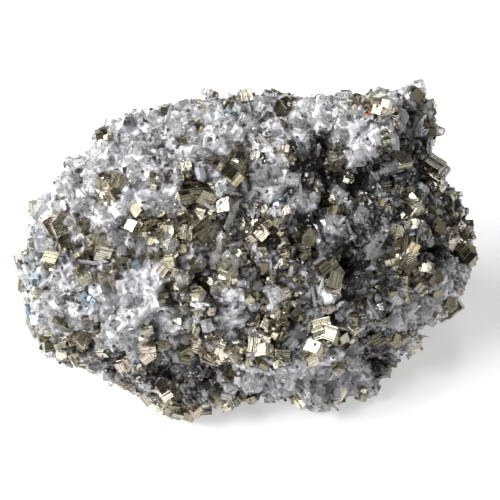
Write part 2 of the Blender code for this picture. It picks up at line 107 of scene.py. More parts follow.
# Pyrite cubes on the face: (across, up, edge, turn in the face, tip out of it)
CUBES = [
    (-41.5, 5.7, 4.4, 45, 30), (-40.8, 2.0, 2.8, 20, 40), (-39.8, -0.6, 2.8, 5, 32),
    (-35.7, 5.7, 2.4, 30, 20), (-32.5, 2.6, 2.8, 60, 35), (-28.2, -1.1, 2.2, 30, 25),
    (-47.0, -6.7, 2.4, 15, 35), (-35.5, -5.9, 2.8, 20, 50), (-30.2, -6.0, 3.4, 35, 45),
    (-36.4, -10.3, 2.0, 10, 25), (-34.7, -10.3, 1.8, 30, 30), (-46.6, -13.7, 2.8, 20, 35),
    (-41.5, -14.0, 2.2, 40, 30), (-35.5, -14.9, 1.8, 15, 30), (-40.0, -16.2, 2.0, 70, 30),
    (-43.6, -19.4, 3.4, 25, 45), (-37.0, -19.4, 3.6, 50, 35), (-32.4, -17.7, 2.2, 10, 40),
    (-37.7, -23.3, 2.5, 30, 30), (-29.5, -28.8, 2.6, 60, 30), (-27.3, -29.5, 2.2, 15, 30),
    (-21.6, -21.3, 3.2, 5, 40), (-21.8, -17.0, 2.2, 10, 30), (-24.2, 5.1, 3.8, 25, 35),
    (-21.0, 5.5, 3.0, 25, 35), (-18.8, 3.8, 3.2, 40, 30), (-14.0, 3.3, 2.8, 80, 25),
    (-10.0, 5.1, 4.4, 35, 30), (-7.5, 3.5, 3.0, 40, 40), (-11.5, -3.3, 2.6, 20, 50),
    (-24.6, -2.9, 2.0, 30, 30), (-20.2, -2.4, 2.2, 5, 40), (-4.4, -3.5, 3.8, 35, 45),
    (-4.4, -7.3, 2.8, 75, 35), (-18.4, -10.2, 2.4, 15, 25), (-13.5, -11.0, 2.0, 20, 30),
    (-10.9, -9.5, 2.4, 50, 50), (-13.0, 12.4, 3.0, 10, 30), (-10.0, 12.6, 3.2, 0, 25),
    (-9.6, 10.8, 1.8, 15, 40), (12.2, 2.7, 3.4, 40, 40), (12.4, 0.0, 2.2, 5, 25),
    (16.9, -4.4, 4.4, 40, 30), (7.5, -8.9, 2.6, 20, 30), (18.4, -8.6, 2.6, 75, 25),
    (32.1, 4.0, 2.4, 75, 30), (34.7, 1.0, 3.8, 85, 20), (34.1, -2.9, 3.4, 50, 22),
    (36.1, -4.3, 1.8, 30, 30), (43.2, 2.4, 4.0, 50, 25), (45.3, 0.1, 2.0, 25, 30),
    (41.0, 5.1, 2.6, 60, 25), (47.3, -0.7, 3.8, 70, 40), (39.2, -5.5, 3.0, 40, 40),
    (31.5, -9.5, 1.8, 10, 30), (34.1, -10.2, 1.8, 50, 30), (43.3, -11.3, 2.6, 65, 35),
    (32.5, 12.9, 1.8, 70, 20), (35.0, 13.1, 1.8, 40, 25), (42.0, 13.7, 2.0, 50, 30),
    (46.5, 8.5, 1.8, 20, 40), (46.5, 5.3, 1.8, 50, 30), (-18.0, -30.2, 3.6, 55, 25),
    (-18.2, -33.8, 2.8, 5, 25), (-11.5, -33.8, 3.6, 30, 40), (-6.7, -32.0, 3.2, 50, 35),
    (-13.9, -22.0, 3.4, 20, 45), (-8.3, -23.0, 2.8, 60, 30), (-6.0, -21.4, 2.6, 20, 35),
    (-3.1, -22.2, 3.0, 40, 35), (-2.2, -26.2, 3.4, 70, 20), (2.4, -23.7, 2.2, 30, 45),
    (7.5, -23.2, 2.6, 10, 25), (31.7, -18.8, 3.4, 60, 30), (29.9, -15.3, 2.0, 20, 30),
    (19.5, -31.3, 2.8, 50, 35), (20.2, -18.8, 2.2, 30, 45), (19.0, -24.4, 2.2, 60, 40),
    (13.5, -23.5, 2.8, 20, 50), (-18.2, 30.6, 2.8, 40, 30), (-11.5, 27.0, 2.6, 30, 25),
    (-14.4, 23.4, 2.2, 20, 25), (-9.8, 24.0, 2.2, 50, 30), (-20.2, 15.0, 2.4, 15, 25),
    (-28.4, 14.5, 3.2, 70, 25), (-36.2, 17.0, 2.0, 30, 30), (-32.5, 25.3, 2.6, 15, 25),
    (-30.5, 24.4, 1.8, 50, 30), (-3.5, 16.4, 4.0, 70, 25), (-1.2, 20.3, 2.6, 10, 30),
    (28.6, 30.0, 3.4, 30, 45), (27.0, 32.4, 2.4, 60, 40), (22.0, 16.0, 1.8, 10, 20),
    (19.5, 21.5, 2.4, 20, 35), (40.3, 31.3, 2.6, 30, 40), (36.6, 33.8, 2.8, 50, 30),
    (39.8, 25.7, 2.2, 15, 40), (5.8, -12.9, 2.2, 40, 45), (6.2, -18.8, 2.2, 20, 40),
    (2.9, 5.3, 2.4, 50, 45), (24.6, -31.0, 2.4, 40, 30),
]

# Quartz prisms on the face: (across, up, length, width, heading of the tip in the face, rise out of it)
PRISMS = [
    (-35.3, 3.8, 5.2, 1.2, 35, 22), (-34.0, 3.2, 4.5, 1.0, 38, 22), (-29.1, 1.6, 5.0, 4.4, 60, 72),
    (-45.7, -2.7, 2.6, 1.3, 25, 35), (-38.1, -5.1, 6.0, 1.6, 40, 20), (-37.0, -8.6, 5.0, 1.3, 22, 20),
    (-21.7, 2.9, 3.0, 1.7, 80, 60), (-16.4, 1.1, 6.0, 4.6, 80, 70), (-9.6, 1.3, 4.6, 1.5, 35, 25),
    (-3.3, 7.8, 7.5, 1.8, 68, 22), (-5.5, 1.8, 6.0, 2.8, 85, 35), (-15.7, -3.5, 4.6, 1.3, 115, 25),
    (-14.2, -6.2, 4.5, 3.7, 100, 68), (-6.7, -2.0, 4.0, 2.6, 80, 45), (-6.9, -8.9, 4.0, 2.6, 130, 55),
    (22.2, 2.9, 3.4, 1.8, 15, 30), (19.7, 6.9, 2.4, 1.4, 0, 40), (22.0, 9.3, 3.4, 2.2, 60, 50),
    (12.4, -4.9, 4.0, 0.9, 90, 25), (27.9, 0.9, 8.5, 4.2, 242, 28), (29.5, 6.7, 6.0, 2.3, 45, 22),
    (38.9, -1.8, 3.6, 1.8, 10, 30), (25.9, -7.6, 5.4, 1.5, 20, 18), (28.0, -10.4, 3.2, 2.1, 90, 78),
    (38.8, -10.2, 6.5, 2.2, 315, 22), (35.5, -11.1, 5.5, 2.2, 310, 30), (-10.1, -26.6, 4.4, 2.2, 240, 38),
    (23.6, -15.0, 3.2, 2.5, 30, 70), (16.3, -27.0, 5.5, 2.6, 5, 18), (21.3, -28.8, 4.0, 2.6, 300, 40),
    (12.7, -31.5, 5.5, 3.0, 272, 10), (-3.3, -14.0, 4.5, 2.2, 50, 35), (-1.5, -12.5, 4.2, 1.4, 60, 28),
    (11.9, 27.0, 5.0, 2.6, 290, 30), (7.8, 20.2, 6.0, 2.1, 300, 25), (27.3, 21.7, 5.0, 2.5, 280, 45),
    (24.8, 20.5, 4.6, 2.0, 250, 45), (30.2, 23.3, 4.6, 1.1, 300, 22), (-18.8, 20.8, 3.0, 2.4, 60, 60),
    (-28.0, 20.0, 2.6, 1.6, 110, 40), (-46.5, -4.5, 3.2, 1.6, 200, 30), (17.0, -33.0, 4.0, 2.0, 290, 15),
    (31.0, -27.5, 4.2, 2.4, 320, 25), (45.5, -7.5, 3.6, 2.2, 340, 30), (41.0, 10.0, 3.4, 2.2, 50, 45),
    (-24.5, -32.0, 3.0, 1.5, 250, 15), (-33.0, -24.5, 2.6, 1.2, 250, 20), (0.5, 12.0, 4.0, 2.4, 30, 50),
]

# Milky quartz knobs on the face: (across, up, length, breadth, heading of the length)
KNOBS = [
    (-17.7, 10.0, 8.5, 5.5, 150), (3.8, -0.2, 6.0, 4.4, 150), (-26.0, -19.4, 6.2, 5.6, 30),
    (1.5, -18.2, 6.0, 4.4, 160), (0.2, -28.6, 7.0, 5.0, 10), (-17.3, -16.6, 4.6, 4.2, 60),
    (20.4, 26.4, 9.5, 4.4, 85), (33.2, 29.8, 4.0, 3.4, 60), (-45.0, 9.5, 6.0, 4.5, 40),
    (-46.5, 3.6, 6.5, 4.2, 80), (-36.6, 10.0, 6.0, 4.0, 30), (4.4, 15.5, 7.5, 5.0, 20),
    (9.5, -21.0, 5.4, 4.0, 30), (14.5, -30.0, 6.0, 4.4, 100), (-9.0, 30.5, 5.0, 3.6, 20),
    (38.0, -12.5, 5.5, 3.8, 330), (-41.5, -9.5, 5.0, 3.4, 120), (-30.0, -13.0, 5.5, 4.5, 20),
]

# How crystals are shaped and how deep they sit, as shares of their size. A crystal that misses the
# rock is moved towards the middle, to this share of its place, until it meets it.
CUBE_SIDES = Vector((1.0, 1.08, 0.94))
CUBE_STANDS_OUT = 0.12
PRISM_FLATNESS = 0.85
PRISM_ROOT = 0.5
PRISM_STANDS_OUT = 0.2
PRISM_TIP = 0.25
PRISM_SIDES = 6
SEARCH_STEP = 0.985
KNOB_HEIGHT = 0.6

# Crystals on the sides, top and back, placed by a seeded rule
SEED = 11
MOST_ELSEWHERE = 78
TRIES = 3000
KINDS_ELSEWHERE = {"cube": 6, "prism": 3, "knob": 1}
SIZES_ELSEWHERE = (2.2, 4.6)
SPACING = 0.75
LOWEST = 2.5
LEAN = 0.8
OUTWARD = 1.4
ROOM_SHARE = 0.6
THIN_PRISM = Vector((0.45, 0.4, 1.25))
FLAT_KNOB = Vector((0.8, 0.6, 0.36))

OUTLINE_POLAR = sorted((math.atan2(up, across), math.hypot(across, up)) for across, up in OUTLINE)
OUTLINE_ANGLES, OUTLINE_REACHES = zip(*OUTLINE_POLAR)
BREAK_REACHES = [
    (outward, BREAK_ROOM + max(outward.x * across + outward.y * up for across, up in OUTLINE))
    for outward in BREAKS
]


def face_directions():
    """Turns face coordinates into the row's directions."""
    tilt = math.radians(FACE_LOOKS_UP)
    across = Vector((1, 0, 0))
    up = Vector((0, math.sin(tilt), math.cos(tilt)))
    out = Vector((0, -math.cos(tilt), math.sin(tilt)))
    return Matrix((across, up, out)).transposed()


FACE = face_directions()


def relief(point):
    """How far the rock stands out or in at a point of the lump."""
    block = noise.voronoi(point / BLOCK)[1][0]
    step = BLOCK_STEP * noise.noise(block * STEP_PICK)
    slope = BLOCK_TILT * (noise.cell_vector(block * TILT_PICK) - Vector((0.5, 0.5, 0.5)))
    rough = ROUGHNESS * noise.noise(point / ROUGHNESS_SIZE)
    return step + slope.dot(point - block * BLOCK) + rough


def hollow_depth(point):
    """How deep the hollows of the face are at a point."""
    if point.z <= 0:
        return 0.0
    total = 0.0
    for across, up, radius, depth in HOLLOWS:
        apart = (point.x - across) ** 2 + (point.y - up) ** 2
        total += depth * math.exp(-apart / radius**2)
    return total


def broken_off(point):
    """The point drawn in towards the middle wherever a broken side has taken the bulge away."""
    for outward, reach in BREAK_REACHES:
        point = point / max(1.0, point.dot(outward) / reach)
    return point


def rock_point(direction):
    """Where the bare rock's surface lies in a direction from the middle, in face coordinates."""
    level = max(math.hypot(direction.x, direction.y), 1e-6)
    heading = math.atan2(direction.y, direction.x)
    reach = np.interp(heading, OUTLINE_ANGLES, OUTLINE_REACHES, period=2 * math.pi) - ROCK_INSET
    side = reach * level ** (ROUNDING - 1)
    bulge = math.copysign(abs(direction.z) ** ROUNDING, direction.z)
    depth = bulge * (FRONT_DEPTH if bulge > 0 else BACK_DEPTH)
    point = broken_off(Vector((direction.x * side, direction.y * side, depth)))
    fade = RELIEF_AT_OUTLINE + (1 - RELIEF_AT_OUTLINE) * min(1.0, 2 * abs(direction.z))
    return point - Vector((0, 0, hollow_depth(point))) + direction * relief(point) * fade


def rock_skin(divisions):
    """The rock's bare surface as a closed mesh, in millimetres along the row's axes."""
    skin = bmesh.new()
    bmesh.ops.create_icosphere(skin, subdivisions=divisions, radius=1.0)
    for vert in skin.verts:
        vert.co = MIDDLE + FACE @ rock_point(vert.co.normalized())
    bmesh.ops.recalc_face_normals(skin, faces=skin.faces)
    return skin


def with_modifiers_applied(thing):
    """The object's shape after its modifiers, as a bmesh, in place of the object."""
    shape = bmesh.new()
    shape.from_object(thing, bpy.context.evaluated_depsgraph_get())
    bpy.data.objects.remove(thing)
    return shape


def thinned(skin):
    """The skin in millimetres with a share of its faces kept, the flattest places losing the most."""
    skin.transform(Matrix.Scale(MM, 4))
    mesh = bpy.data.meshes.new("bare_skin")
    skin.to_mesh(mesh)
    skin.free()
    holder = bpy.data.objects.new("bare_skin", mesh)
    bpy.context.scene.collection.objects.link(holder)
    thin_out = holder.modifiers.new("thin_out", "DECIMATE")
    thin_out.ratio = LUMP_SHARE_KEPT
    coarse = with_modifiers_applied(holder)
    coarse.transform(Matrix.Scale(1 / MM, 4))
    return coarse


def on_face(tree, across, up):
    """The point and outward direction of the rock behind a place on the face."""
    inward = -FACE.col[2]
    point = None
    while point is None:
        start = MIDDLE + FACE @ Vector((across, up, 3 * FRONT_DEPTH))
        point, outward, _, _ = tree.ray_cast(start, inward)
        across, up = across * SEARCH_STEP, up * SEARCH_STEP
    return point, outward


def turned_along(direction, roll):
    """Directions whose Z runs along a direction, rolled about it."""
    return direction.to_track_quat("Z", "Y").to_matrix() @ Matrix.Rotation(roll, 3, "Z")


def cube_site(tree, across, up, edge, turn, tip):
    """A cube turned in the face, then tipped over an edge so that three of its sides show."""
    point, outward = on_face(tree, across, up)
    turned = Matrix.Rotation(math.radians(turn), 3, "Z")
    tipped = Matrix.Rotation(math.radians(tip), 3, Matrix.Rotation(math.radians(2 * turn), 3, "Z").col[0])
    return "cube", point + outward * edge * CUBE_STANDS_OUT, FACE @ tipped @ turned, CUBE_SIDES * edge


def prism_site(tree, across, up, length, width, heading, rise):
    """A six-sided prism whose root is in the rock and whose tip leans out of it."""
    point, outward = on_face(tree, across, up)
    flat, steep = math.radians(heading), math.radians(rise)
    tip = FACE @ Vector((math.cos(flat) * math.cos(steep), math.sin(flat) * math.cos(steep), math.sin(steep)))
    foot = point + outward * width * PRISM_STANDS_OUT - tip * length * PRISM_ROOT
    return "prism", foot, turned_along(tip, flat), Vector((width, width * PRISM_FLATNESS, length))


def knob_site(tree, across, up, length, breadth, heading):
    """A blunt lump lying along the face."""
    point, _ = on_face(tree, across, up)
    turned = FACE @ Matrix.Rotation(math.radians(heading), 3, "Z")
    return "knob", point, turned, Vector((length, breadth, KNOB_HEIGHT * breadth)) / 2


def site_elsewhere(chance, point, outward, size):
    """A crystal of the sides, top or back: its kind and the way it leans are drawn by lot."""
    kind = chance.choices(list(KINDS_ELSEWHERE), KINDS_ELSEWHERE.values())[0]
    lean = Vector((chance.uniform(-1, 1), chance.uniform(-1, 1), chance.uniform(-1, 1))) * LEAN
    roll = chance.uniform(0, 2 * math.pi)
    if kind == "cube":
        return kind, point, turned_along(outward + lean, roll), CUBE_SIDES * size
    if kind == "knob":
        return kind, point, turned_along(outward, roll), FLAT_KNOB * size
    tip = (OUTWARD * outward + lean).normalized()
    return kind, point - tip * size * PRISM_ROOT, turned_along(tip, roll), THIN_PRISM * size


def crystal_sites(skin):
    """Every crystal as (kind, middle or foot, directions, size), in millimetres."""
    tree = BVHTree.FromBMesh(skin)
    sites = [cube_site(tree, *cube) for cube in CUBES]
    sites += [prism_site(tree, *prism) for prism in PRISMS]
    sites += [knob_site(tree, *knob) for knob in KNOBS]
    taken = [(middle, ROOM_SHARE * max(size)) for _, middle, _, size in sites]
    most = len(sites) + MOST_ELSEWHERE
    chance = random.Random(SEED)
    faces = list(skin.faces)
    areas = [face.calc_area() for face in faces]
    for _ in range(TRIES):
        face = chance.choices(faces, areas)[0]
        size = chance.uniform(*SIZES_ELSEWHERE)
        point = face.calc_center_median()
        crowded = any((point - other).length < SPACING * (size + room) for other, room in taken)
        if crowded or point.z < LOWEST + size or len(sites) == most:
            continue
        taken.append((point, size))
        sites.append(site_elsewhere(chance, point, face.normal, size))
    return sites


# What the visual model adds. Lengths are in millimetres unless a comment says otherwise, and a pair
# of numbers gives the least and the most that is drawn.

# The rock between the crystals: its grains are small flat blocks, each tilted its own way, and its
# clumps are larger, with crevices between them. The last value is how strongly crevices draw dark grains and
# darken the rock's colour: painted shade.
FINE_DIVISIONS = 7
GRAIN = 2.3
GRAIN_STEP = 0.45
GRAIN_TILT = 1.1
GRAIN_STEP_PICK = 9.1
GRAIN_TILT_PICK = 7.7
ROCK_LIFT = 0.55
CLUMP = 9.0
CLUMP_SHIFT = Vector((3.3, 8.1, 5.7))
CREVICE_WIDTH = 2.0
CREVICE_DEPTH = 1.8
CREVICE_PAINTED_SHADE = 0.35

# Repeated shapes of pyrite, as shares of a crystal's edge. A point farther out than ON_SIDE lies on
# a side, and an edge bent by less than FLAT_ANGLE, in radians, is left out.
BAND_STEP = 0.06
GROOVE_WIDTH = 0.055
GROOVE_DEPTH = 0.035
GROOVE_PLACES = (0.25, 0.75)
GROOVE_SHARES = (0.5, 1.0)
GROOVE_STRENGTHS = (0.2, 1.0)
ON_SIDE = 0.499
FLAT_ANGLE = 0.02
TWIN_SIZES = (0.55, 0.85)
TWIN_TURN = 0.8
TWIN_PLACES = (0.15, 0.42)
CORNERS_CUT = 3
CORNER_PLACES = (0.30, 0.42)
SPECK_EDGES = (0.95, 1.0)

# Repeated shapes of quartz and of dark grains, as shares of their size
POINT_END = 0.46
TIP_ASIDE = 0.14
POINT_BULGE = 0.10
POINT_WAVES = 5
POINT_DRIFT = 0.2
SHOULDER_SHIFTS = (-0.06, 0.05)
STUB_END = 0.45
STUB_WEAR = 0.13
STUB_UNEVEN = 0.07
FRACTURES = 4
FRACTURE_PLACES = (0.55, 0.85)
KNOB_DIVISIONS = 4
KNOB_SHIFTS = (0, 50)
KNOB_BLOCKS = 2.2
KNOB_MIDDLE = 0.85
KNOB_TILT = 1.2
KNOB_SLOPE = 0.32
KNOB_STEP = 0.16

# How the smaller crystals grow. The room that each keeps and how deep it sits are shares of its
# size, and a form is a grain's breadth and height as shares of its length.
SMALL_SEED = 23
SMALL_LOWEST = 1.2
FLOOR_GAP = 0.05
FLOOR_ROOM = 0.3
MIXING = 0.6
CELL = 2.0
QUARTZ_BREADTH = 0.85
DRUSE_BREADTH = 0.8

MIDDLE_TRIES = 1500
MIDDLE_SIZES = (2.6, 4.4)
MIDDLE_CLEARS = 0.6
MIDDLE_CROWDING = 0.8
MIDDLE_SIDES = (0.8, 1.1)
MIDDLE_EDGE = 0.9
MIDDLE_SINK = 0.12
MIDDLE_LEAN = 1.3
MIDDLE_WIDTHS = (0.55, 0.95)
MIDDLE_FOOT = 0.72

SMALL_TRIES = 26000
SMALL_SIZES = (0.9, 2.6)
SMALL_EXTRA = 0.4
SMALL_CLEARS = 0.7
SMALL_CROWDING = 0.62
SMALL_SIDES = (0.7, 1.1)
SMALL_SHIFT = 0.1
DRUSE_SHARE = 0.7
DRUSE_LEAN = 1.8
DRUSE_WIDTHS = (0.35, 0.75)
DRUSE_LENGTHS = (1.0, 1.7)
DRUSE_FOOT = 0.5
DARK_FORM = (0.8, 0.6)
DARK_SIZE = 0.5
PALE_FORM = (0.8, 0.55)
PALE_SIZE = 0.65

# Long prisms, and among them short wide ones. The reach is how far their tips may stand out.
LONG_TRIES = 4500
LONG_LENGTHS = (3.0, 6.5)
LONG_WIDTHS = (0.10, 0.20)
LONG_LEAN = 2.5
LONG_CLEARS = 0.5
LONG_ROOM = 0.8
LONG_RAISED = 0.6
LONG_FOOT = 0.42
REACH_SHARE = 0.7
MOST_REACH = 1.5
WIDE_SHARE = 0.10
WIDE_LENGTHS = (1.8, 3.0)
WIDE_WIDTHS = (1.0, 1.4)
WIDE_LEAN = 0.7

# The finest grains: how much of each mineral they cover, and how strongly they gather in groups
GRAIN_TRIES = 30000
GRAIN_SIZES = (0.2, 0.7)
GRAIN_FORM = (0.8, 0.6)
COVERED = {"quartz": 0.2, "pyrite": 0.7, "dark": 1.0}
LARGE_COVERED = 0.06
GRAIN_GROUPS = 3.0
GATHERING = 2
STRAY_BRASS = 0.2
SKY = 6.0

# How soon, by its lead in score, a mineral colours the rock, and how fully it may
LEAD_GAIN = 5.0
MOST_COLOUR = 0.9

# The finishes: the growth lines' spacing, in millimetres, and how far they wander, in lines; the
# scales of the other patterns, in cells to the metre; and quartz's refractive index
LINE_SPACING = 0.32
LINE_WOBBLE = 0.2
DRIFT_SCALE = 900.0
PATCH_SCALE = 260.0
SPECK_SCALES = {
    "brass": 1600.0, "clear": 1200.0, "hazy": 1400.0, "milky": 1100.0, "flecks": 3800.0,
    "dark": 1500.0, "rust": 900.0, "rock": 1000.0,
}
QUARTZ_INDEX = 1.544

# The studio, in metres, lens millimetres and watts. A light is a way to it, its width and its power.
LENS = 325.0
SENSOR = 36.0
CAMERA_BACK = 1.0
CAMERA_ASIDE = 0.0004
LIGHT_BACK = 1.1
LIGHT_TARGET = Vector((0, 0, 0.03))
LIGHTS = {
    "key": (Vector((-1.0, 0.0, 0.75)), 1.1, 25.0),
    "spark": (Vector((-0.65, -0.6, 1.0)), 0.3, 4.0),
    "high_spark": (Vector((0.15, 0.25, 1.0)), 0.16, 1.2),
    "low_spark": (Vector((-0.5, -1.0, 0.45)), 0.16, 1.2),
    "right_fill": (Vector((1.0, 0.1, 0.35)), 1.0, 4.0),
}
FLOOR_HALF = 3.0

# Where one mineral crowds out the others on the face: (across, up, radius)
QUARTZ_PATCHES = [
    (-45, 10, 5), (-38, 14, 6), (-31, 21, 6), (-24, 25, 5), (-17, 27, 5), (-10, 29, 5), (-4, 25, 4),
    (7, 32, 4), (14, 31, 4), (19, 28, 5), (24, 23, 4.5), (5, 15, 4.5), (-23, 13, 4.5), (-19, 10, 4),
    (-33, 5, 5), (-46, -8, 5), (-23, -8, 5), (-31, -14, 6), (-22, -14, 6), (-44, -14, 4), (-2, -14, 4),
    (-25, -20, 4), (-2, -28, 4), (5, -28, 4), (12, -28, 5), (19, -28, 5), (26, -31, 4), (40, -14, 5),
    (47, -8, 4), (33, -12, 3.5), (28, 3, 3.5),
]
PYRITE_PATCHES = [
    (27, 31, 4), (-2, 19, 3.5), (-31, 12, 3), (-10, 12, 4), (-23, 5, 3.5), (-16, 4, 4.5), (-8, 5, 3),
    (5, 5, 4), (44, 5, 5), (-17, -2, 3.5), (-2, -1, 4), (12, -1, 3.5), (34, -1, 4), (-16, -8, 3),
    (-9, -8, 4), (33, -7, 3), (-10, -14, 3), (5, -15, 4.5), (-45, -21, 4), (-38, -21, 5), (-16, -21, 3),
    (-9, -21, 4.5), (-2, -21, 4), (5, -21, 4), (-17, -34, 4), (-36, 1, 4), (20, -19, 3.5),
]
# Dark patches lie mostly in the face's hollows: the dark grains and dark rock they draw are partly a dark
# mineral and partly painted shade.
DARK_AND_SHADE_PATCHES = [
    (24, 14, 4.5), (14, 22, 4), (14, 16, 3.5), (24, -7, 4), (20, -5, 4), (-7, -28, 4), (-16, -27, 4.5),
    (-22, -26, 3), (28, -23, 5), (42, 0, 4), (36, 19, 5), (34, 14, 4), (-41, -24, 3), (-29, -25, 3),
    (-23, 24, 2.5), (44, 9, 3), (31, -7, 3), (21, 2, 3), (26, 6, 4), (19, -15, 3.5), (12, 6, 2.5),
]

# Where pyrite is tarnished blue, and where rust has gathered: (across, up)
TARNISHED = [
    (-46.7, -6.6), (6.8, 10.2), (-24.6, -3.2), (-46.6, -14.3), (30.0, -17.1), (-34.7, -10.2), (-4.3, 30.4),
]
TARNISH_REACH = 1.3
RUSTY = [(22.2, 23.1), (25.8, 29.9), (24.8, 30.8)]
RUST_REACH = 0.9

# How the minerals share the rock: each by noise of its own size and shift, and by its patches
MINERALS = ("quartz", "pyrite", "dark")
PATCH_PULL = {"quartz": 0.42, "pyrite": 0.45, "dark": 0.75}
MINERAL_SPREAD = 0.5
MINERAL_SIZE = {"quartz": 4.5, "pyrite": 3.5, "dark": 3.0}
MINERAL_SHARE = {"quartz": 0.24, "pyrite": 0.04, "dark": 0.02}
MINERAL_SHIFT = {"quartz": Vector((31, 7, 3)), "pyrite": Vector((5, 43, 11)), "dark": Vector((17, 2, 61))}
PATCHES = {"quartz": QUARTZ_PATCHES, "pyrite": PYRITE_PATCHES, "dark": DARK_AND_SHADE_PATCHES}


def to_face(point):
    """A row point, in millimetres, in face coordinates."""
    return FACE.transposed() @ (point - MIDDLE)


def mineral_scores(place):
    """How strongly each mineral claims a place of the rock, given in face coordinates."""
    scores = {}
    for mineral in MINERALS:
        shifted = place / MINERAL_SIZE[mineral] + MINERAL_SHIFT[mineral]
        score = MINERAL_SHARE[mineral] + MINERAL_SPREAD * noise.noise(shifted)
        if place.z > 0:
            for across, up, radius in PATCHES[mineral]:
                apart = (place.x - across) ** 2 + (place.y - up) ** 2
                score += PATCH_PULL[mineral] * math.exp(-apart / radius**2)
        scores[mineral] = score
    # Crevices raise the dark score, so dark grains and darker rock colour gather there as painted shade.
    scores["dark"] += CREVICE_PAINTED_SHADE * crevice(place)
    return scores


def near_spot(place, spots, reach):
    """Whether a place in face coordinates is within reach of one of some spots."""
    return any(math.dist((place.x, place.y), spot) < reach for spot in spots)


def tarnish(place):
    """1 where pyrite is tarnished, in face coordinates, and 0 elsewhere."""
    return float(near_spot(place, TARNISHED, TARNISH_REACH) and place.z > 0)


def crevice(place):
    """How deep in a crevice between two clumps a place lies: 1 at its bottom, 0 outside."""
    nearest, second = noise.voronoi(place / CLUMP + CLUMP_SHIFT)[0][:2]
    return max(0.0, 1 - (second - nearest) * CLUMP / CREVICE_WIDTH)


def block_pick(block):
    """A small block's own step and tilt, each from -0.5 to 0.5, read from noise at its middle."""
    step = noise.cell(block * GRAIN_STEP_PICK) - 0.5
    return step, noise.cell_vector(block * GRAIN_TILT_PICK) - Vector((0.5, 0.5, 0.5))


def fine_relief(place):
    """How far the fine rock stands out at a place: its small tilted blocks, less its crevices."""
    block = noise.voronoi(place / GRAIN)[1][0]
    step, tilt = block_pick(block)
    slope = GRAIN_TILT * tilt
    return GRAIN_STEP * step + slope.dot(place - block * GRAIN) + ROCK_LIFT - CREVICE_DEPTH * crevice(place)


def everything(shape):
    """All of a shape's points, edges and faces."""
    return shape.verts[:] + shape.edges[:] + shape.faces[:]


def cut_flat(shape, place, outward):
    """Cuts off what lies beyond a plane, and closes the cut."""
    cut = bmesh.ops.bisect_plane(
        shape, geom=everything(shape), plane_co=place, plane_no=outward, clear_outer=True
    )
    rim = [part for part in cut["geom_cut"] if isinstance(part, bmesh.types.BMEdge)]
    bmesh.ops.edgenet_fill(shape, edges=rim)


def fine_rock():
    """The rock between the crystals, with its grains, cut level below; in millimetres."""
    rock = rock_skin(FINE_DIVISIONS)
    for vert in rock.verts:
        vert.co += vert.normal * fine_relief(to_face(vert.co))
    cut_flat(rock, (0, 0, 0), (0, 0, -1))
    bmesh.ops.recalc_face_normals(rock, faces=rock.faces)
    return rock


# Shapes that are repeated


def drawn(draw, *limits):
    """A vector of three numbers drawn alike."""
    return Vector([draw(*limits) for _ in range(3)])


def lay_growth_lines(shape):
    """Gives each face coordinates whose second runs across its growth lines, as on pyrite."""
    layer = shape.loops.layers.uv.verify()
    for face in shape.faces:
        flattest = max(range(3), key=lambda axis: abs(face.normal[axis]))
        for loop in face.loops:
            spot = loop.vert.co
            loop[layer].uv = (spot[(flattest + 1) % 3], spot[(flattest + 2) % 3])


def as_arrays(shape):
    """A finished shape as arrays of points, triangles and the corner coordinates on each face."""
    lay_growth_lines(shape)
    bmesh.ops.recalc_face_normals(shape, faces=shape.faces)
    bmesh.ops.triangulate(shape, faces=shape.faces)
    layer = shape.loops.layers.uv.verify()
    points = np.array([vert.co for vert in shape.verts])
    triangles = np.array([[vert.index for vert in face.verts] for face in shape.faces])
    corners = np.array([[loop[layer].uv for loop in face.loops] for face in shape.faces])
    shape.free()
    return points, triangles, corners


def new_cube(edge):
    """A plain cube to cut a crystal from."""
    shape = bmesh.new()
    bmesh.ops.create_cube(shape, size=edge)
    return shape


def band_depths(chance, grooves, step, groove_depth):
    """How deep one side lies at each of its lines: flat bands at uneven levels, with grooves between."""
    levels = [chance.uniform(0, step) for _ in range(grooves + 1)]
    depths = []
    for before, after in itertools.pairwise(levels):
        deepest = max(before, after) + chance.uniform(*GROOVE_SHARES) * groove_depth
        depths += [before, deepest, after]
    return depths


def cut_grooves(shape, chance, axis, grooves):
    """Cuts a block along three lines for each groove square to an axis, and gives their places."""
    across = Vector((0, 0, 0))
    across[axis] = 1.0
    lines = []
    for number in range(grooves):
        place = (number + chance.uniform(*GROOVE_PLACES)) / grooves - 0.5
        lines += [place - GROOVE_WIDTH / 2, place, place + GROOVE_WIDTH / 2]
    for line in lines:
        bmesh.ops.bisect_plane(shape, geom=everything(shape), plane_co=across * line, plane_no=across)
    return lines


def line_at(lines, place):
    """The number of the line that a place on a side lies on. The side's rims go with its outer lines."""
    if abs(place) > ON_SIDE:
        return 0 if place < 0 else len(lines) - 1
    return min(range(len(lines)), key=lambda number: abs(lines[number] - place))


def striated_block(chance, grooves, step, groove_depth):
    """A pyrite block with growth grooves: they run square to each other on neighbouring sides."""
    shape = new_cube(1.0)
    cuts = [cut_grooves(shape, chance, axis, grooves) for axis in range(3)]
    sides = {}
    for vert in shape.verts:
        spot = vert.co.copy()
        for side in range(3):
            if abs(spot[side]) > ON_SIDE:
                key = (side, spot[side] > 0)
                if key not in sides:
                    sides[key] = band_depths(chance, grooves, step, groove_depth)
                across = (side + 2) % 3
                depth = sides[key][line_at(cuts[across], spot[across])]
                vert.co[side] -= math.copysign(depth, spot[side])
    shape.normal_update()
    flat_edges = [edge for edge in shape.edges if edge.calc_face_angle(0) < FLAT_ANGLE]
    bmesh.ops.dissolve_edges(shape, edges=flat_edges, use_verts=True)
    return as_arrays(shape)


